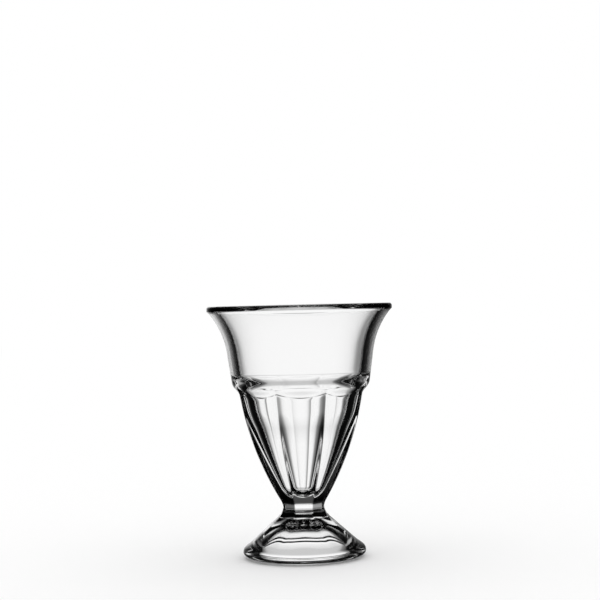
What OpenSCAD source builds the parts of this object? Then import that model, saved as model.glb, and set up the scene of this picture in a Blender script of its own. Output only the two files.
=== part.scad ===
// Parfait glass of clear pressed glass: a flared bowl over a fluted cone, a short waist and a hollow foot.
// The axis is Z. Z zero is the plane that the ring of the foot rests on, and a flute faces -Y.

/* [Rim and flare] */
// Outside diameter of the flat band round the rim
rim_d = 100; // [96:0.5:104]
// Height of the band
band_h = 4; // [3.6:0.1:4.4]
// Distance that the band stands out past the top of the flare
band_out = 1.3; // [1.2:0.05:1.5]
// Radius that rounds the band's edges
band_round = 0.9; // [0.7:0.05:1]
// Radius that rounds the inner edge of the rim
lip_round = 1.8; // [1.6:0.1:2]
// Distance that the rim stands out past the turn of the shoulder
flare_w = 12.75; // [11.5:0.25:14]
// Height of the curved lip, from the straight side to the top of the rim
lip_h = 25.5; // [23:0.5:28]
// Height of the straight side between the shoulder and the lip
side_h = 15.5; // [13:0.5:18]
// Lean of the straight side from the upright, in degrees
side_lean = 8; // [7:0.25:9]
// Thickness of the flared wall
wall_t = 5.3; // [4.8:0.1:5.8]

/* [Shoulder] */
// Radius that rounds the shoulder
shoulder_round = 7; // [6:0.25:8]
// Lean of the shoulder's underside from the upright, in degrees
underside_lean = 50; // [45:1:54]
// Distance that the flutes' upper ends lie in from the turn of the shoulder
shoulder_step = 4.95; // [4.5:0.05:5.5]

/* [Fluted cone] */
// Number of flutes round the glass
flute_count = 8; // [8:1:9]
// Height of the fluted cone, from the joint with the stem to the shoulder
cone_h = 65.5; // [62:0.5:69]
// Depth of the flutes' upper end below the turn of the shoulder
flute_top_drop = 8.3; // [7.5:0.1:9]
// Lean of the cone from the upright where it meets the waist, in degrees
cone_lean = 30; // [28.5:0.5:31.5]
// Depth by which the ridge between two flutes falls short of a sharp edge
ridge_blunt = 0.3; // [0.25:0.05:0.4]

/* [Cavity] */
// Height of the ledge's top above the turn of the shoulder
ledge_h = 3; // [2:0.2:4]
// Height of the ledge, where the cavity narrows into a cone
ledge_fall = 4.6; // [4:0.1:5.2]
// Lean of the ledge from the upright, in degrees
ledge_lean = 33; // [30:0.5:36]
// Depth below the turn of the shoulder of the knee, where the cone begins to narrow faster
knee_drop = 18.5; // [17:0.5:20]
// Glass left at the knee behind the middle of a flute
knee_t = 4.9; // [4.4:0.1:5.4]
// Radius of the cavity's round bottom
tip_r = 9.3; // [8.7:0.1:9.9]
// Glass left between the cavity and the joint with the stem
floor_t = 5.6; // [4.8:0.1:6.4]

/* [Stem] */
// Distance across opposite flutes at the waist
waist_d = 22.2; // [20.8:0.2:23.6]
// Radius of the hollow round the waist
waist_round = 7.5; // [6.5:0.25:8.5]
// Height of the waist above the table
waist_h = 27.5; // [26.5:0.25:28.5]
// Height of the joint with the bowl above the waist
joint_rise = 2; // [1.6:0.1:2.4]

/* [Foot] */
// Outside diameter of the foot
foot_d = 66.2; // [64:0.2:69]
// Radius that rounds the edge of the foot
foot_round = 3.6; // [3.2:0.1:4]
// Depth of a flute below the round edge that it runs out on
flute_sink = 0.5; // [0.3:0.05:0.8]
// Lean of the round edge's top from the upright, in degrees
edge_lean = 60; // [57:1:64]
// Angle by which the ridges close on the flutes down the foot, in degrees
ridge_fade = 0.8; // [0.6:0.1:1.2]
// Width of the flat ring that the foot rests on
ring_w = 4.5; // [3.75:0.25:5.25]
// Glass left between the hollow under the foot and the joint with the stem
crown_t = 4.5; // [4:0.1:5.2]

/* [Hidden] */
$fn = 180;
// Length by which a cut runs past what it cuts
overrun = 0.5;
glass_tint = [0.86, 0.9, 0.92, 0.6];

// Heights of the joint under the bowl and of the outline's turns above it
bowl_z = waist_h + joint_rise;
shoulder_z = bowl_z + cone_h;
lip_z = shoulder_z + side_h;
rim_z = lip_z + lip_h;

// Rim: the band's underside and the centres of its two roundings
band_z = rim_z - band_h;
band_r = rim_d / 2 - band_round;
band_top_z = rim_z - band_round;
band_low_z = band_z + band_round;

// Flare: the arc leaves the straight side smoothly and ends under the band
flare_top_r = rim_d / 2 - band_out;
shoulder_r = rim_d / 2 - flare_w;
side_n = [cos(side_lean), -sin(side_lean)];
lip_p = [shoulder_r + side_h * tan(side_lean), lip_z];
lip_v = [flare_top_r, band_z] - lip_p;
flare_r = lip_v * lip_v / (2 * lip_v * side_n);
flare_c = lip_p + flare_r * side_n;

// Inner edge of the rim: centre of its rounding, which the inside of the flare trims by a hair
lip_trim = 0.1;
lip_c_z = rim_z - lip_round;
lip_c = [inner_x(lip_c_z) + lip_round - lip_trim, lip_c_z];

// Shoulder: its turn, the centre of its rounding, and where the underside leaves the rounding
shoulder_p = [shoulder_r, shoulder_z];
shoulder_c = shoulder_p - shoulder_round * side_n;
under_p = shoulder_c + shoulder_round * [cos(underside_lean), -sin(underside_lean)];
under_foot_z = under_p.y - under_p.x / tan(underside_lean);

// Waist: centre of its hollow, and where the cone leaves the hollow
waist_c = [waist_d / 2 + waist_round, waist_h];
cone_n = [-cos(cone_lean), sin(cone_lean)];
cone_p = waist_c + waist_round * cone_n;

// Belly of the cone: the arc leaves the waist smoothly and ends under the shoulder
belly_top_z = shoulder_c.y;
belly_v = [shoulder_r - shoulder_step, shoulder_z - flute_top_drop] - cone_p;
belly_r = belly_v * belly_v / (2 * belly_v * cone_n);
belly_c = cone_p + belly_r * cone_n;

// Foot: centre of its edge rounding, and the straight flank that leaves the waist smoothly for that edge
edge_c = [foot_d / 2 - foot_round, foot_round];
edge_p = edge_c + foot_round * [cos(edge_lean), sin(edge_lean)];
edge_in_x = (edge_p.x + waist_d / 2) / 2;
edge_in_z = edge_p.y + (edge_p.x - edge_in_x) / tan(edge_lean);
flank_v = waist_c - edge_c;
flank_lean = atan2(flank_v.y, flank_v.x) - acos((waist_round + foot_round - flute_sink) / norm(flank_v));
flank_p = waist_c - waist_round * [cos(flank_lean), sin(flank_lean)];

// Height of the joint under the stem, where the waist's hollow ends
foot_z = flank_p.y;

// Cavity: ledge, knee, centre of the round bottom, and lean of the cone that leaves it smoothly
ledge_p = shoulder_p + ledge_h * [tan(side_lean), 1] - [wall_t / cos(side_lean), 0];
ledge_foot_p = ledge_p - ledge_fall * [tan(ledge_lean), 1];
knee_z = shoulder_z - knee_drop;
knee_p = [belly_x(knee_z) - knee_t, knee_z];
tip_z = bowl_z + floor_t + tip_r;
knee_v = knee_p - [0, tip_z];
cavity_lean = atan2(knee_v.x, knee_v.y) - asin(tip_r / norm(knee_v));
tip_p = [tip_r * cos(cavity_lean), tip_z - tip_r * sin(cavity_lean)];
cavity_top_z = rim_z + overrun;
inner_lip_p = lip_p - wall_t * side_n;

// Hollow under the foot: a cap of a ball, inside the resting ring
hollow_h = foot_z - crown_t;
hollow_mouth_r = edge_c.x - ring_w;
hollow_r = (pow(hollow_mouth_r, 2) + pow(hollow_h, 2)) / (2 * hollow_h);

// Flutes: half the angle that each one takes, the angle that its cut spans and how far out it is cut
flute_turn = 180 / flute_count;
cut_span_share = 0.99;
cut_turn = cut_span_share * flute_turn;
cutter_r = rim_d;

// Radius of the inside of the flare at a given height
function inner_x(z) = flare_c.x - sqrt(pow(flare_r + wall_t, 2) - pow(z - flare_c.y, 2));

// Radius of the middle of a flute at a given height
function flank_x(z) = flank_p.x + (flank_p.y - z) * tan(flank_lean);
function waist_x(z) = waist_c.x - sqrt(pow(waist_round, 2) - pow(z - waist_c.y, 2));
function belly_x(z) = belly_c.x + sqrt(pow(belly_r, 2) - pow(z - belly_c.y, 2));

// Point at a given height on the blunt ridge beside a flute whose middle has a given radius
function ridge_p(flute_r, z) = [flute_r / cos(flute_turn) - ridge_blunt, z];

// Ridge line in short straight lengths: round the waist and up the belly of the cone
ridge_steps = 6;
waist_step = (cone_p.y - foot_z) / ridge_steps;
belly_low_z = cone_p.y + waist_step;
belly_step = (belly_top_z - belly_low_z) / ridge_steps;
ridge_points = [
    for (z = [foot_z : waist_step : cone_p.y - waist_step / 2]) ridge_p(waist_x(z), z),
    for (k = [0 : ridge_steps]) let (z = belly_low_z + k * belly_step) ridge_p(belly_x(z), z)
];

// Ridge line of the foot, straight from the joint with the stem down into the round edge
ridge_top_x = ridge_p(flank_p.x, foot_z).x;
ridge_end_x = ridge_top_x + (foot_z - edge_p.y) * tan(flank_lean - ridge_fade);

// Half sections of the glass along the middle of a flute: foot, waist and belly
module flank_section() {
    polygon([[0, 0], [flank_x(0), 0], [flank_x(foot_z + overrun), foot_z + overrun], [0, foot_z + overrun]]);
}

module waist_section() {
    difference() {
        translate([0, foot_z - overrun]) square([waist_c.x, cone_p.y - foot_z + overrun]);
        translate(waist_c) circle(waist_round);
    }
}

module belly_section() {
    intersection() {
        translate(belly_c) circle(belly_r);
        translate([0, cone_p.y]) square([shoulder_r, belly_top_z + overrun - cone_p.y]);
    }
}

// Half section of the stem and the cone along a ridge, between two heights
module ridge_section(low_z, high_z) {
    intersection() {
        polygon(concat([[0, foot_z]], ridge_points, [[0, belly_top_z]]));
        translate([0, low_z]) square([shoulder_r, high_z - low_z]);
    }
}

// Cutter for the flute that faces +X, flat across, between two heights, outside the half section of its child
module flute_cutter(low_z, high_z) {
    intersection() {
        rotate([90, 0, 0])
            linear_extrude(2 * cutter_r, center = true)
                difference() {
                    translate([0, low_z]) square([cutter_r, high_z - low_z]);
                    children();
                }
        translate([0, 0, low_z - overrun])
            linear_extrude(high_z - low_z + 2 * overrun)
                polygon([[0, 0], cutter_r * [1, -tan(cut_turn)], cutter_r * [1, tan(cut_turn)]]);
    }
}

// Ring of such cutters, one to a flute
module flutes(low_z, high_z) {
    for (k = [0 : flute_count - 1])
        rotate([0, 0, 2 * k * flute_turn - 90])
            flute_cutter(low_z - overrun, high_z + overrun) children();
}

// Half section of the flare and the shoulder, filled to the axis
module upper_section() {
    translate(shoulder_c) circle(shoulder_round);
    difference() {
        polygon([
            [0, under_foot_z], under_p, shoulder_p, lip_p,
            [flare_top_r, lip_z], [flare_top_r, lip_c.y], [0, lip_c.y]
        ]);
        translate(flare_c) circle(flare_r);
    }
}

// Half section of the space inside the bowl
module cavity_section() {
    intersection() {
        translate([0, tip_z]) circle(tip_r);
        translate([0, tip_z - tip_r]) square([tip_r, 2 * tip_r]);
    }
    difference() {
        polygon([
            [0, tip_p.y], tip_p, knee_p, ledge_foot_p, ledge_p, inner_lip_p,
            [rim_d / 2, inner_lip_p.y], [rim_d / 2, cavity_top_z], [0, cavity_top_z]
        ]);
        translate(flare_c) circle(flare_r + wall_t);
    }
}

// Section of the rim: the band outside and the round edge inside
module rim_section() {
    translate([band_r, band_top_z]) circle(band_round);
    translate([band_r, band_low_z]) circle(band_round);
    translate(lip_c) circle(lip_round);
    polygon([
        lip_c, [lip_c.x, rim_z], [band_r, rim_z], [rim_d / 2, band_top_z], [rim_d / 2, band_low_z],
        [band_r, band_z], [flare_top_r - overrun, band_z]
    ]);
}

// Half section of the round edge of the foot
module edge_section() {
    translate(edge_c) circle(foot_round);
    polygon([[0, 0], [edge_c.x, 0], edge_c, edge_p, [edge_in_x, edge_in_z], [0, edge_in_z]]);
}

module bowl() {
    color(glass_tint)
        difference() {
            union() {
                rotate_extrude() upper_section();
                rotate_extrude() rim_section();
                difference() {
                    rotate_extrude() ridge_section(bowl_z, belly_top_z);
                    flutes(bowl_z, belly_top_z) {
                        waist_section();
                        belly_section();
                    }
                }
            }
            rotate_extrude() cavity_section();
        }
}

module stem() {
    color(glass_tint)
        difference() {
            rotate_extrude() ridge_section(foot_z, bowl_z);
            flutes(foot_z, bowl_z) waist_section();
        }
}

module foot() {
    color(glass_tint)
        difference() {
            union() {
                rotate_extrude() edge_section();
                difference() {
                    rotate_extrude()
                        polygon([[0, edge_p.y], [ridge_end_x, edge_p.y], [ridge_top_x, foot_z], [0, foot_z]]);
                    flutes(edge_p.y, foot_z) flank_section();
                }
            }
            translate([0, 0, hollow_h - hollow_r]) sphere(hollow_r);
        }
}

bowl();
stem();
foot();
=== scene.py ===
import math

import bpy
import numpy as np
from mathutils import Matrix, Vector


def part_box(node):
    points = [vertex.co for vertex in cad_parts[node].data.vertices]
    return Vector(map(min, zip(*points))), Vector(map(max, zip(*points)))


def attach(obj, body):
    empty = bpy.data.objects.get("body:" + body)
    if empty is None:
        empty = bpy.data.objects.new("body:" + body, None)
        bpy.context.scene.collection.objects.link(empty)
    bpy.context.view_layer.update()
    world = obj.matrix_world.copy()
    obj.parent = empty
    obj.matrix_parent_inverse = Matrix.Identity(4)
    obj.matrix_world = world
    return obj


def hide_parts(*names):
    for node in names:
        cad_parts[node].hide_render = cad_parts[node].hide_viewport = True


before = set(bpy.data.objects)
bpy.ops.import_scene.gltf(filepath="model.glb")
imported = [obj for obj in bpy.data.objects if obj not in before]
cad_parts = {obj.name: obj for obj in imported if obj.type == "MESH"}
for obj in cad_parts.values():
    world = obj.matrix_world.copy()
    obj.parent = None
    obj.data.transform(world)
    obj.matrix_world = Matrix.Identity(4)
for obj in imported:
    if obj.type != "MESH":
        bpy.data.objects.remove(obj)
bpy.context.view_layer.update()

# Sizes of the glass are in millimetres, as in the CAD model. Blender's objects are in metres.
MM = 0.001

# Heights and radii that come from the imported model
BOWL_LOW, BOWL_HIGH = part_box("bowl")
STEM_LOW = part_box("stem")[0]
FOOT_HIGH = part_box("foot")[1]
RIM_R = BOWL_HIGH[0] / MM
RIM_Z = BOWL_HIGH[2] / MM
BOWL_Z = BOWL_LOW[2] / MM
FOOT_Z = STEM_LOW[2] / MM
FOOT_R = FOOT_HIGH[0] / MM

# Rim
BAND_H = 4  # height of the band round the rim
BAND_OUT = 1.3  # how far the band stands out from the flare
BAND_ROUND = 0.9  # rounding of the band's lower edge
BAND_SLOPE_H = 1.6  # height of that rounding's centre above the band's foot
BAND_SLOPE_DEG = 45  # angle at which the slope under the band meets that rounding
RIM_ROUND = 1.4  # rounding of the rim's outer edge
LIP_ROUND = 1.8  # rounding of the rim's inner edge

# Flare and the straight side under it
FLARE_W = 12.75  # how far the rim reaches out past the shoulder
LIP_H = 25.5  # height from the top of the straight side to the rim
SIDE_H = 15.5  # height of the straight side
SIDE_LEAN = math.radians(8)
WALL_T = 5.3

# Shoulder
SHOULDER_ROUND = 7
UNDERSIDE_LEAN = math.radians(50)
SHOULDER_STEP = 4.95  # how far the top of a flute lies inside the shoulder

# Fluted cone
FLUTE_COUNT = 8
FLUTE_TOP_DROP = 8.3  # how far the top of a flute lies below the shoulder
CONE_LEAN = math.radians(30)  # lean of the cone where it leaves the waist

# Cavity
LEDGE_H = 3  # height of the ledge's top above the shoulder
LEDGE_FALL = 4.6  # height of the ledge's slope
LEDGE_LEAN = math.radians(33)
KNEE_DROP = 18.5  # depth of the knee below the shoulder
KNEE_T = 4.9  # glass between the knee and the middle of a flute
TIP_R = 9.3
FLOOR_T = 5.6  # glass under the tip, down to the joint

# Waist
WAIST_R = 11.1
WAIST_ROUND = 7.5
WAIST_Z = 27.5

# Foot
FOOT_ROUND = 3.6  # rounding of the foot's edge
FLUTE_SINK = 0.5  # how deep the flutes run into the round edge
EDGE_LEAN = math.radians(60)  # angle on that rounding where the slope above it begins
RIDGE_FADE = math.radians(0.8)  # how much steeper the ridges fall than the flutes
RIDGE_BLUNT = 0.3  # what is taken off the ridges at the top of the foot
RING_W = 4.5  # width of the ring between the hollow and the edge's rounding
CROWN_T = 4.5  # glass over the hollow, up to the joint

# Sole of the foot: a narrow flat to rest on, then a slope that rises into the round edge
REST_W = 0.6  # width of the flat
SOLE_ROUND = 3.8  # width of the rounding that ends at the foot's widest line
SOLE_LIFT = 0.8  # height at which that rounding would be level
SOLE_DEG = 76  # angle below the widest line where the slope meets that rounding

# Softness of the pressed glass: how far a crease is rounded off
RIDGE_BLEND = 0.5
SHOULDER_BLEND = 3
EDGE_BLEND = 1
FADE_BLEND = 1
LEDGE_BLEND = 1
KNEE_BLEND = 1

# Mesh: points round a ring, and gaps between rings on plain, bent and finely shaped stretches
RING_POINTS = 256
WIDE_STEP = 1
CLOSE_STEP = 0.4
FINE_STEP = 0.2

# Mesh: points along the roundings
RIM_POINTS = 12
TIP_POINTS = 20
HOLLOW_POINTS = 60
SOLE_POINTS = 24

# Mesh: details at creases and at the axis
BLEND_REACH = 4  # how far the close rings reach past a crease
CREASE = 0.05  # gap of the rings that keep a crease crisp
AXIS_GAP = 0.5  # degrees that a rounding stops short of the axis

# Material slots of a piece: the glass, and the joint faces inside it that light passes straight through
GLASS = 0
JOINT = 1


def unit(lean):
    """Outward normal, in radius and height, of a wall that leans out from the upright."""
    return np.array([math.cos(lean), -math.sin(lean)])


def blend_min(a, b, width):
    """The smaller of two radii, with the crease between them rounded off."""
    near = np.maximum(width - np.abs(a - b), 0) / width
    return np.minimum(a, b) - near * near * width / 4


def blend_max(a, b, width):
    """The larger of two radii, with the crease between them rounded off."""
    return -blend_min(-a, -b, width)


def half_chord(radius, offset):
    """Half the chord of a circle at an offset from its centre, or zero beyond it."""
    return np.sqrt(np.maximum(radius ** 2 - offset ** 2, 0))


# Rim and flare: the arc leaves the straight side smoothly and ends at the band
SHOULDER_R = RIM_R - FLARE_W
LIP_Z = RIM_Z - LIP_H
SHOULDER_Z = LIP_Z - SIDE_H
SIDE_N = unit(SIDE_LEAN)
LIP_P = np.array([SHOULDER_R + SIDE_H * math.tan(SIDE_LEAN), LIP_Z])
BAND_Z = RIM_Z - BAND_H
LIP_V = np.array([RIM_R - BAND_OUT, BAND_Z]) - LIP_P
FLARE_ROUND = LIP_V @ LIP_V / (2 * LIP_V @ SIDE_N)
FLARE_C = LIP_P + FLARE_ROUND * SIDE_N

# Shoulder
SHOULDER_C = np.array([SHOULDER_R, SHOULDER_Z]) - SHOULDER_ROUND * SIDE_N
UNDERSIDE_P = SHOULDER_C + SHOULDER_ROUND * unit(UNDERSIDE_LEAN)
FLUTE_TOP_Z = SHOULDER_Z - FLUTE_TOP_DROP - SHOULDER_BLEND

# Waist and the belly of the cone above it
WAIST_C = np.array([WAIST_R + WAIST_ROUND, WAIST_Z])
CONE_N = -unit(CONE_LEAN)
CONE_P = WAIST_C + WAIST_ROUND * CONE_N
BELLY_V = np.array([SHOULDER_R - SHOULDER_STEP, SHOULDER_Z - FLUTE_TOP_DROP]) - CONE_P
BELLY_ROUND = BELLY_V @ BELLY_V / (2 * BELLY_V @ CONE_N)
BELLY_C = CONE_P + BELLY_ROUND * CONE_N

# Foot: its round edge, and the flank that runs from the waist down to that edge
EDGE_C = np.array([FOOT_R - FOOT_ROUND, FOOT_ROUND])
EDGE_P = EDGE_C + FOOT_ROUND * np.array([math.cos(EDGE_LEAN), math.sin(EDGE_LEAN)])
FLANK_V = WAIST_C - EDGE_C
FLANK_TURN = math.acos((WAIST_ROUND + FOOT_ROUND - FLUTE_SINK) / np.linalg.norm(FLANK_V))
FLANK_LEAN = math.atan2(FLANK_V[1], FLANK_V[0]) - FLANK_TURN
FLANK_P = WAIST_C - WAIST_ROUND * np.array([math.cos(FLANK_LEAN), math.sin(FLANK_LEAN)])
RIDGE_TOP_R = FLANK_P[0] / math.cos(math.pi / FLUTE_COUNT) - RIDGE_BLUNT

# Cavity: a round tip, a cone that steepens at the knee, a ledge, and the inside of the flare
INNER_SIDE_R = SHOULDER_R - WALL_T / math.cos(SIDE_LEAN)
LEDGE_P = np.array([INNER_SIDE_R + LEDGE_H * math.tan(SIDE_LEAN), SHOULDER_Z + LEDGE_H])
LEDGE_FOOT_P = LEDGE_P - LEDGE_FALL * np.array([math.tan(LEDGE_LEAN), 1])
KNEE_Z = SHOULDER_Z - KNEE_DROP
KNEE_P = np.array([BELLY_C[0] + half_chord(BELLY_ROUND, KNEE_Z - BELLY_C[1]) - KNEE_T, KNEE_Z])
KNEE_SLOPE = (LEDGE_FOOT_P[0] - KNEE_P[0]) / (LEDGE_FOOT_P[1] - KNEE_P[1])
TIP_Z = BOWL_Z + FLOOR_T + TIP_R
KNEE_V = KNEE_P - np.array([0, TIP_Z])
CAVITY_LEAN = math.atan2(KNEE_V[0], KNEE_V[1]) - math.asin(TIP_R / np.linalg.norm(KNEE_V))
TIP_P = np.array([TIP_R * math.cos(CAVITY_LEAN), TIP_Z - TIP_R * math.sin(CAVITY_LEAN)])
INNER_ROUND = FLARE_ROUND + WALL_T
INNER_LIP_Z = LIP_Z + WALL_T * math.sin(SIDE_LEAN)

# Rounding of the rim's inner edge, which leaves the inside of the flare smoothly
INNER_RIM_Z = RIM_Z - LIP_ROUND
INNER_RIM_R = FLARE_C[0] - half_chord(INNER_ROUND - LIP_ROUND, INNER_RIM_Z - FLARE_C[1])
INNER_RIM_TURN = math.atan2(INNER_RIM_Z - FLARE_C[1], INNER_RIM_R - FLARE_C[0])

# Hollow under the foot: a cap of a ball
HOLLOW_H = FOOT_Z - CROWN_T
HOLLOW_R = EDGE_C[0] - RING_W
HOLLOW_ROUND = (HOLLOW_R ** 2 + HOLLOW_H ** 2) / (2 * HOLLOW_H)
HOLLOW_Z = HOLLOW_H - HOLLOW_ROUND

# Turn of each point round a ring, counted from -Y, where the middle of a flute faces the camera
FLUTE_STEP = 2 * math.pi / FLUTE_COUNT
TURNS = np.arange(RING_POINTS) * 2 * math.pi / RING_POINTS
RING_X = np.sin(TURNS)
RING_Y = -np.cos(TURNS)


def flute_middle(z):
    """Radius of the middle of a flute at a height."""
    if z > CONE_P[1]:
        return BELLY_C[0] + half_chord(BELLY_ROUND, z - BELLY_C[1])
    if z > FLANK_P[1]:
        return WAIST_C[0] - half_chord(WAIST_ROUND, z - WAIST_Z)
    return FLANK_P[0] + (FLANK_P[1] - z) * math.tan(FLANK_LEAN)


def fluted(z):
    """Radii of the flat flutes round a ring, with the ridges between them rounded off."""
    turn = np.abs((TURNS + FLUTE_STEP / 2) % FLUTE_STEP - FLUTE_STEP / 2)
    middle = flute_middle(z)
    return blend_min(middle / np.cos(turn), middle / np.cos(FLUTE_STEP - turn), RIDGE_BLEND)


def upper(z):
    """Radius of the shoulder and the flare; the shoulder's underside runs on inward below."""
    if z < UNDERSIDE_P[1]:
        return UNDERSIDE_P[0] - (UNDERSIDE_P[1] - z) * math.tan(UNDERSIDE_LEAN)
    if z < SHOULDER_Z:
        return SHOULDER_C[0] + half_chord(SHOULDER_ROUND, z - SHOULDER_C[1])
    if z < LIP_Z:
        return SHOULDER_R + (z - SHOULDER_Z) * math.tan(SIDE_LEAN)
    return FLARE_C[0] - half_chord(FLARE_ROUND, z - FLARE_C[1])


def edge(z):
    """Radius of the foot's round edge and of the slope that its top runs on in."""
    if z > EDGE_P[1]:
        return EDGE_P[0] - (z - EDGE_P[1]) * math.tan(EDGE_LEAN)
    return EDGE_C[0] + half_chord(FOOT_ROUND, z - EDGE_C[1])


def bowl_outer(z):
    """Radii of the bowl's outside round a ring: the rounding over the flutes ends on the shoulder."""
    if z >= SHOULDER_Z:
        return upper(z)
    return blend_max(fluted(z), upper(z), min(SHOULDER_BLEND, SHOULDER_Z - z))


def foot_outer(z):
    """Radii of the foot's outside round a ring: the ridges close on the flutes towards the round edge."""
    ridge = RIDGE_TOP_R + (FLANK_P[1] - z) * math.tan(FLANK_LEAN - RIDGE_FADE)
    flank = blend_min(fluted(z), ridge, FADE_BLEND)
    flank = blend_min(flank, EDGE_P[0], EDGE_BLEND)
    return blend_max(flank, edge(z), EDGE_BLEND)


def cavity(z):
    """Radius of the space inside the bowl, above its round tip."""
    cone = TIP_P[0] + (z - TIP_P[1]) * math.tan(CAVITY_LEAN)
    cone = blend_min(cone, KNEE_P[0] + (z - KNEE_Z) * KNEE_SLOPE, KNEE_BLEND)
    ledge = LEDGE_P[0] + (z - LEDGE_P[1]) * math.tan(LEDGE_LEAN)
    cone = blend_max(cone, ledge, LEDGE_BLEND)
    side = INNER_SIDE_R + (z - SHOULDER_Z) * math.tan(SIDE_LEAN)
    if z > INNER_LIP_Z:
        side = FLARE_C[0] - half_chord(INNER_ROUND, z - FLARE_C[1])
    return blend_min(cone, side, LEDGE_BLEND)


def heights(low, high, step):
    """Heights from low to high, about a step apart, with a close one at each end to keep it crisp."""
    count = max(2, round((high - low) / step) + 1)
    inner = np.linspace(low + CREASE, high - CREASE, count)
    return [low, *inner, high]


def climb(outline, low, high, step):
    """Rings of an outline from a height up to another, without the lowest, which the stretch below has."""
    return [(outline(z), z) for z in heights(low, high, step)[1:]]


def fall(outline, high, low, step):
    """Rings of an outline from a height down to another, without the highest, which is there already."""
    return [(outline(z), z) for z in heights(low, high, step)[-2::-1]]


def arc(centre, radius, start, end, count):
    """Points of a rounding in radius and height, between two angles in degrees."""
    angles = np.radians(np.linspace(start, end, count))
    return [(centre[0] + radius * math.cos(a), centre[1] + radius * math.sin(a)) for a in angles]


def rim_rings():
    """Rings of the rim, from the slope under its band, over the top and in to the inside of the flare."""
    band_c = (RIM_R - BAND_ROUND, BAND_Z + BAND_SLOPE_H)
    rings = arc(band_c, BAND_ROUND, -BAND_SLOPE_DEG, 0, RIM_POINTS)
    rings += arc((RIM_R - RIM_ROUND, RIM_Z - RIM_ROUND), RIM_ROUND, 0, 90, RIM_POINTS)
    inner_turn = math.degrees(INNER_RIM_TURN) % 360
    rings += arc((INNER_RIM_R, INNER_RIM_Z), LIP_ROUND, 90, inner_turn, RIM_POINTS)
    return rings


def cavity_rings():
    """Rings of the cavity, from the rim's rounding down to the tip."""
    top = FLARE_C[1] + INNER_ROUND * math.sin(INNER_RIM_TURN)
    ledge_top = LEDGE_P[1] + BLEND_REACH
    knee_foot = KNEE_Z - BLEND_REACH
    rings = fall(cavity, top, ledge_top, WIDE_STEP)
    rings += fall(cavity, ledge_top, knee_foot, CLOSE_STEP)
    rings += fall(cavity, knee_foot, TIP_P[1], WIDE_STEP)
    rings += arc((0, TIP_Z), TIP_R, -math.degrees(CAVITY_LEAN), AXIS_GAP - 90, TIP_POINTS)[1:]
    return rings


def bowl_rings():
    """Rings of the bowl, from the joint up the outside, over the rim and down to the tip of the cavity."""
    rings = [(bowl_outer(BOWL_Z), BOWL_Z)]
    rings += climb(bowl_outer, BOWL_Z, CONE_P[1], FINE_STEP)
    rings += climb(bowl_outer, CONE_P[1], FLUTE_TOP_Z, WIDE_STEP)
    rings += climb(bowl_outer, FLUTE_TOP_Z, SHOULDER_Z, FINE_STEP)
    rings += climb(bowl_outer, SHOULDER_Z, BAND_Z, WIDE_STEP)
    return rings + rim_rings() + cavity_rings()


def stem_rings():
    """Rings of the stem, from the joint with the foot to the joint with the bowl."""
    return [(fluted(FOOT_Z), FOOT_Z), *climb(fluted, FOOT_Z, BOWL_Z, FINE_STEP)]


def sole_rings():
    """Rings of the foot's sole, from the hollow's mouth out to the widest line of the round edge."""
    rings = [(HOLLOW_R + CREASE, 0), (HOLLOW_R + REST_W - CREASE, 0)]
    rise = FOOT_ROUND - SOLE_LIFT
    for across, up in arc((0, 0), 1, -SOLE_DEG, 0, SOLE_POINTS):
        rings.append((FOOT_R - SOLE_ROUND + across * SOLE_ROUND, FOOT_ROUND + up * rise))
    return rings


def foot_rings():
    """Rings of the foot, from the top of the hollow, round the sole and up to the joint."""
    mouth = math.degrees(math.asin(HOLLOW_R / HOLLOW_ROUND))
    rings = arc((0, HOLLOW_Z), HOLLOW_ROUND, 90 - AXIS_GAP, 90 - mouth, HOLLOW_POINTS)
    return rings + sole_rings() + climb(foot_outer, EDGE_C[1], FOOT_Z, FINE_STEP)


def ring_verts(rings):
    """Points of all the rings, then the two points on the axis that close the ends, in metres."""
    verts = []
    for radius, z in rings:
        radii = np.broadcast_to(radius, RING_POINTS)
        levels = np.full(RING_POINTS, z)
        verts.append(np.stack([radii * RING_X, radii * RING_Y, levels], axis=1))
    ends = [[0, 0, rings[0][1]], [0, 0, rings[-1][1]]]
    return np.concatenate([*verts, ends]) * MM


def ring_faces(count, low_cap, high_cap):
    """Faces between a count of rings and the fans that close the ends, and the material slot of each."""
    faces = []
    slots = []
    for row in range(count - 1):
        for k in range(RING_POINTS):
            a = row * RING_POINTS + k
            b = row * RING_POINTS + (k + 1) % RING_POINTS
            faces.append((a, b, b + RING_POINTS, a + RING_POINTS))
            slots.append(GLASS)
    last = (count - 1) * RING_POINTS
    low_end = count * RING_POINTS
    high_end = low_end + 1
    for k in range(RING_POINTS):
        after = (k + 1) % RING_POINTS
        faces.append((low_end, after, k))
        slots.append(low_cap)
        faces.append((high_end, last + k, last + after))
        slots.append(high_cap)
    return faces, slots


def lathe(name, rings, low_cap, high_cap):
    """A closed piece through the rings. A cap is the material slot of the fan that closes that end."""
    faces, slots = ring_faces(len(rings), low_cap, high_cap)
    mesh = bpy.data.meshes.new(name)
    mesh.from_pydata(ring_verts(rings).tolist(), [], faces)
    mesh.polygons.foreach_set("material_index", slots)
    mesh.polygons.foreach_set("use_smooth", [slot == GLASS for slot in slots])
    mesh.update()
    piece = bpy.data.objects.new(name, mesh)
    bpy.context.collection.objects.link(piece)
    return piece


# Glass: how it bends and mirrors light, and the faint waves of its skin
GLASS_IOR = 1.52
GLASS_MIRROR = (0.4, 0.4, 0.4, 1)  # grey that weakens what the glass mirrors
WAVE_SCALE = 90
WAVE_DETAIL = 2
WAVE_STRENGTH = 0.05
WAVE_DEPTH = 0.0002  # in metres


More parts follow.
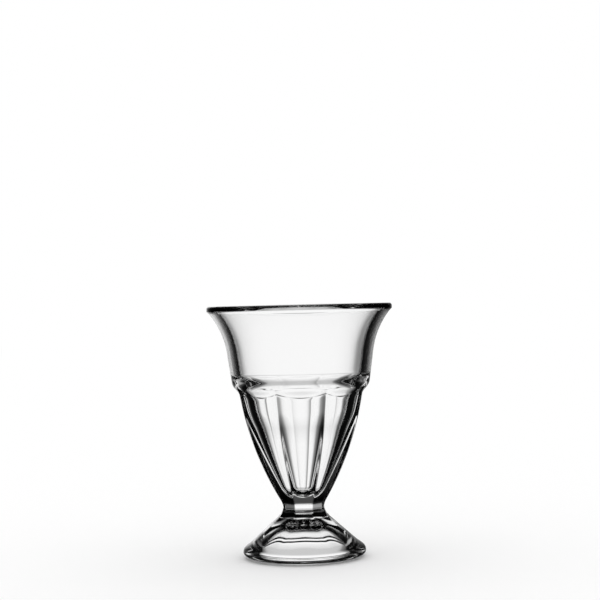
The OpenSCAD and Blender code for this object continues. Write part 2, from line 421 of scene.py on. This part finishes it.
def glass_material():
    """Clear pressed glass with a faint unevenness of its fire-polished skin."""
    material = bpy.data.materials.new("pressed_glass")
    material.use_nodes = True
    nodes = material.node_tree.nodes
    links = material.node_tree.links
    shader = nodes["Principled BSDF"]
    shader.inputs["Base Color"].default_value = (1, 1, 1, 1)
    shader.inputs["Roughness"].default_value = 0
    shader.inputs["IOR"].default_value = GLASS_IOR
    shader.inputs["Transmission Weight"].default_value = 1
    shader.inputs["Specular Tint"].default_value = GLASS_MIRROR
    place = nodes.new("ShaderNodeTexCoord")
    noise = nodes.new("ShaderNodeTexNoise")
    noise.inputs["Scale"].default_value = WAVE_SCALE
    noise.inputs["Detail"].default_value = WAVE_DETAIL
    links.new(place.outputs["Object"], noise.inputs["Vector"])
    bump = nodes.new("ShaderNodeBump")
    bump.inputs["Strength"].default_value = WAVE_STRENGTH
    bump.inputs["Distance"].default_value = WAVE_DEPTH
    links.new(noise.outputs["Fac"], bump.inputs["Height"])
    links.new(bump.outputs["Normal"], shader.inputs["Normal"])
    return material


def joint_material():
    """Fused joint between two pieces of the same glass: nothing bends or dims the light there."""
    material = bpy.data.materials.new("fused_joint")
    material.use_nodes = True
    nodes = material.node_tree.nodes
    nodes.clear()
    output = nodes.new("ShaderNodeOutputMaterial")
    clear = nodes.new("ShaderNodeBsdfTransparent")
    material.node_tree.links.new(clear.outputs["BSDF"], output.inputs["Surface"])
    return material


def make_glass():
    """The three pieces of the glass, each in the place of its CAD node."""
    bowl = lathe("bowl_glass", bowl_rings(), JOINT, GLASS)
    stem = lathe("stem_glass", stem_rings(), JOINT, JOINT)
    foot = lathe("foot_glass", foot_rings(), GLASS, JOINT)
    glass = glass_material()
    joint = joint_material()
    for piece, node in ((bowl, "bowl"), (stem, "stem"), (foot, "foot")):
        piece.data.materials.append(glass)
        piece.data.materials.append(joint)
        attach(piece, "root")
        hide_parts(node)


# Camera, in metres: level, just above the height of the rim, with the photograph's slight roll
CAMERA_D = 0.86  # distance from the glass's axis
CAMERA_X = 0.00064
CAMERA_Z = 0.1385
CAMERA_ROLL = math.radians(1.35)
FRAME_W = 0.3236  # width of the picture at that distance
SENSOR_W_MM = 36


def make_camera():
    """The photograph's view."""
    data = bpy.data.cameras.new("camera")
    data.sensor_width = SENSOR_W_MM
    data.lens = SENSOR_W_MM * CAMERA_D / FRAME_W
    camera = bpy.data.objects.new("camera", data)
    camera.location = (CAMERA_X, -CAMERA_D, CAMERA_Z)
    camera.rotation_euler = (math.pi / 2, CAMERA_ROLL, 0)
    bpy.context.collection.objects.link(camera)
    bpy.context.scene.camera = camera


# Studio round the glass: brightness by the compass angle in degrees, 0 behind the glass and + to the right
STUDIO_TURN = (
    (-45, 0.005), (-40, 0.06), (-36, 0.14), (-30, 0.25), (-24, 0.42), (-20, 0.65), (-16, 0.9), (-10, 0.97),
    (-6, 1), (6, 1), (10, 0.95), (12, 0.88), (14, 0.72), (16, 0.46), (18, 0.36), (22, 0.26), (26, 0.16),
    (30, 0.05), (38, 0.005),
)
# The same for light that the glass mirrors, which finds a darker right side
MIRROR_TURN = (
    (-45, 0.005), (-40, 0.01), (-36, 0.03), (-30, 0.08), (-25, 0.14), (-20, 0.5), (-14, 0.78), (-10, 0.92),
    (-6, 1), (0, 1), (4, 0.3), (14, 0.16), (24, 0.08), (28, 0.02), (34, 0.005),
)
# Brightness by the height above the horizon, in degrees
STUDIO_RISE = (
    (-56, 0.005), (-45, 0.2), (-36, 0.5), (-28, 0.62), (-20, 0.62), (-16, 0.78), (-12, 1), (7, 1),
    (14, 0.82), (20, 0.6), (23, 0.4), (26, 0.1), (34, 0.06), (45, 0.005),
)
# White walls and ground that show straight through the glass, beside the dark screens and below them
WALL_WHITE = 0.95
WALL_TURN = ((-50, 1), (-41, 0), (41, 0), (50, 1))
GROUND_RISE = ((-42, 1), (-30, 0))
# Walls below the horizon, where the screens are narrower
LOW_TURN = ((-43, 1), (-38, 0), (38, 0), (43, 1))
LOW_RISE = ((-5, 1), (-3, 0))

# Largest compass angle and height that a list of stops can hold, in degrees
TURN_MAX = 180
RISE_MAX = 90

# Glossy Depth is 0 for light that only passed through the glass, and 1 or more once the glass mirrored it
MIRROR_DEPTH = 0.5


def math_node(tree, operation, a, b=0):
    """A Math node on one or two values, each a socket or a number."""
    node = tree.nodes.new("ShaderNodeMath")
    node.operation = operation
    for socket, value in zip(node.inputs, (a, b)):
        if isinstance(value, (int, float)):
            socket.default_value = value
        else:
            tree.links.new(value, socket)
    return node.outputs["Value"]


def stops_node(tree, degrees, stops, largest):
    """Grey level by an angle in degrees, from a list of stops."""
    share = math_node(tree, "DIVIDE", math_node(tree, "ADD", degrees, largest), 2 * largest)
    node = tree.nodes.new("ShaderNodeValToRGB")
    tree.links.new(share, node.inputs["Fac"])
    elements = node.color_ramp.elements
    elements.remove(elements[-1])
    for index, (angle, level) in enumerate(stops):
        position = (angle + largest) / (2 * largest)
        element = elements[0] if index == 0 else elements.new(position)
        element.position = position
        element.color = (level, level, level, 1)
    return node.outputs["Color"]


def ray_angles(tree):
    """Compass angle and height of a ray, in degrees."""
    ray = tree.nodes.new("ShaderNodeTexCoord")
    split = tree.nodes.new("ShaderNodeSeparateXYZ")
    tree.links.new(ray.outputs["Generated"], split.inputs["Vector"])
    turn = math_node(tree, "ARCTAN2", split.outputs["X"], split.outputs["Y"])
    rise = math_node(tree, "ARCSINE", split.outputs["Z"])
    return [math_node(tree, "MULTIPLY", angle, math.degrees(1)) for angle in (turn, rise)]


def window_level(tree, turn, rise, straight):
    """Brightness of the window between its dark screens; straight is 0 once the glass mirrored a ray."""
    across = tree.nodes.new("ShaderNodeMix")
    tree.links.new(straight, across.inputs["Factor"])
    tree.links.new(stops_node(tree, turn, MIRROR_TURN, TURN_MAX), across.inputs["A"])
    tree.links.new(stops_node(tree, turn, STUDIO_TURN, TURN_MAX), across.inputs["B"])
    up = stops_node(tree, rise, STUDIO_RISE, RISE_MAX)
    return math_node(tree, "MULTIPLY", across.outputs["Result"], up)


def wall_level(tree, turn, rise):
    """Brightness of the white walls and ground round the screens, by angle."""
    low = stops_node(tree, rise, LOW_RISE, RISE_MAX)
    low = math_node(tree, "MULTIPLY", low, stops_node(tree, turn, LOW_TURN, TURN_MAX))
    walls = math_node(tree, "MAXIMUM", low, stops_node(tree, turn, WALL_TURN, TURN_MAX))
    walls = math_node(tree, "MAXIMUM", walls, stops_node(tree, rise, GROUND_RISE, RISE_MAX))
    return math_node(tree, "MULTIPLY", walls, WALL_WHITE)


def studio_level(tree):
    """Brightness of the world by the direction and the kind of a ray."""
    turn, rise = ray_angles(tree)
    path = tree.nodes.new("ShaderNodeLightPath")
    straight = math_node(tree, "LESS_THAN", path.outputs["Glossy Depth"], MIRROR_DEPTH)
    window = window_level(tree, turn, rise, straight)
    walls = math_node(tree, "MULTIPLY", wall_level(tree, turn, rise), straight)
    level = math_node(tree, "MAXIMUM", window, walls)
    plain = math_node(tree, "MAXIMUM", path.outputs["Is Camera Ray"], path.outputs["Is Diffuse Ray"])
    return math_node(tree, "MAXIMUM", level, plain)


def make_world():
    """White studio: plain to the camera and the floor, a bright window with dark screens to the glass."""
    world = bpy.data.worlds.new("studio")
    bpy.context.scene.world = world
    world.use_nodes = True
    world.cycles.sampling_method = "NONE"
    tree = world.node_tree
    tree.nodes.clear()
    background = tree.nodes.new("ShaderNodeBackground")
    output = tree.nodes.new("ShaderNodeOutputWorld")
    tree.links.new(studio_level(tree), background.inputs["Color"])
    tree.links.new(background.outputs["Background"], output.inputs["Surface"])


# Floor, with its width in metres
FLOOR_W = 8
FLOOR_WHITE = (1, 1, 1, 1)


def make_floor():
    """Plain pale floor that carries the shadow. The glass sees the studio's own white below it instead."""
    half = FLOOR_W / 2
    mesh = bpy.data.meshes.new("floor")
    corners = [(-half, -half, 0), (half, -half, 0), (half, half, 0), (-half, half, 0)]
    mesh.from_pydata(corners, [], [(0, 1, 2, 3)])
    floor = bpy.data.objects.new("floor", mesh)
    bpy.context.collection.objects.link(floor)
    material = bpy.data.materials.new("floor_white")
    material.use_nodes = True
    shader = material.node_tree.nodes["Principled BSDF"]
    shader.inputs["Base Color"].default_value = FLOOR_WHITE
    shader.inputs["Roughness"].default_value = 1
    shader.inputs["Specular IOR Level"].default_value = 0
    mesh.materials.append(material)
    floor.visible_transmission = False
    floor.visible_glossy = False


# Most bounces of light that passes through the glass and of light that it mirrors
PASS_BOUNCES = 24
MIRROR_BOUNCES = 16


def set_light_paths():
    """Enough bounces for light that goes round inside the glass, and plain colours."""
    cycles = bpy.context.scene.cycles
    cycles.max_bounces = PASS_BOUNCES
    cycles.transmission_bounces = PASS_BOUNCES
    cycles.transparent_max_bounces = PASS_BOUNCES
    cycles.glossy_bounces = MIRROR_BOUNCES
    bpy.context.scene.view_settings.view_transform = "Standard"


make_glass()
make_camera()
make_world()
make_floor()
set_light_paths()
